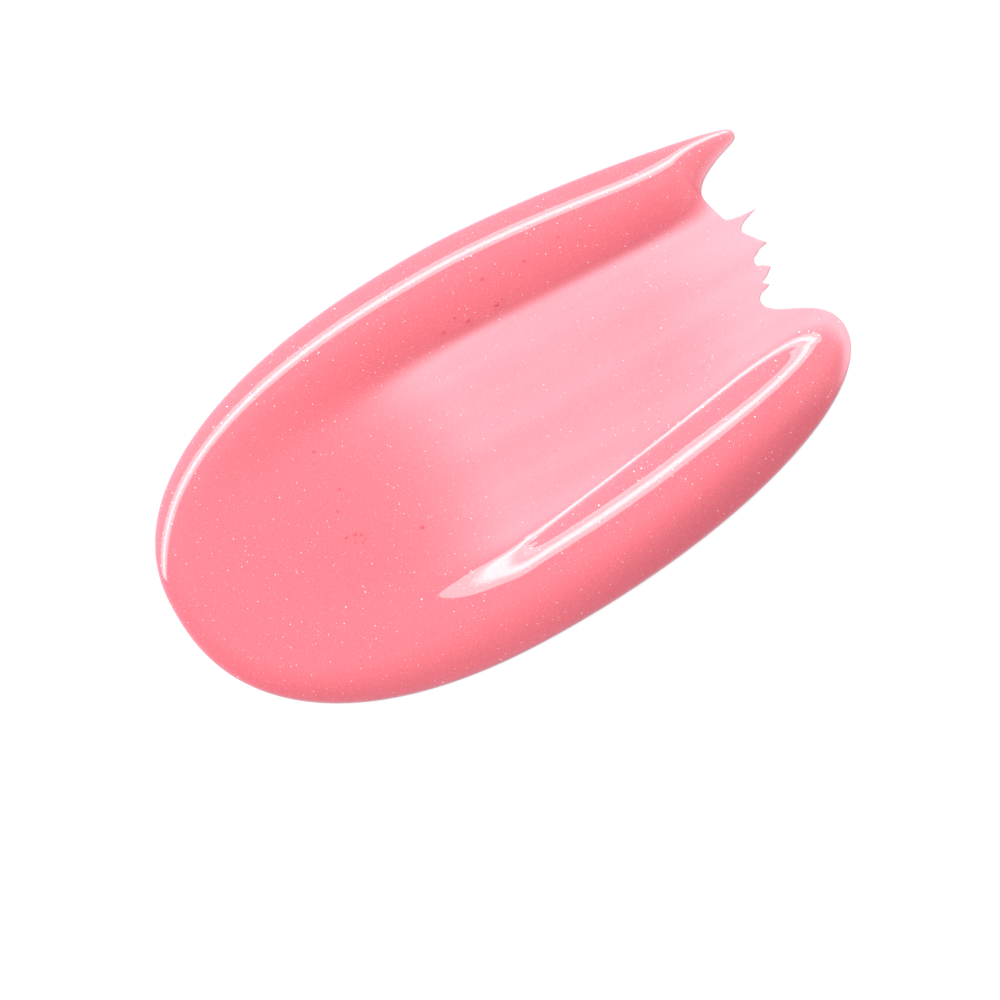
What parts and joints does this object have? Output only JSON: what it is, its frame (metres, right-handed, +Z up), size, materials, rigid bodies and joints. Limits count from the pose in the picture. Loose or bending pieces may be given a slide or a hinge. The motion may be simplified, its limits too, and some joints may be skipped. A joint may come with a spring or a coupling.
{
  "type": "lip gloss smear",
  "caption": "Smear of glossy pearl-pink lip gloss, with a thick rounded pool, raised ridges along a wiped channel and a torn end, lying flat on a surface.",
  "frame": {"origin": "middle of the smear's outline, on the surface that it lies on", "axes": "+X along the stroke, from the thick pool to the torn end; +Y to the stroke's left; +Z up out of the surface"},
  "size_m": [0.04, 0.0222, 0.0016],
  "materials": {
    "thin_gloss": "wet gloss, paler where it is thin",
    "thick_gloss": "wet gloss with a fine pearl sparkle",
    "pearl": "pearly, bright"
  },
  "bodies": {
    "root": {"wiped_film": "thin_gloss", "gloss_bead": "thick_gloss", "pearl_flecks": "pearl"}
  },
  "joints": []
}
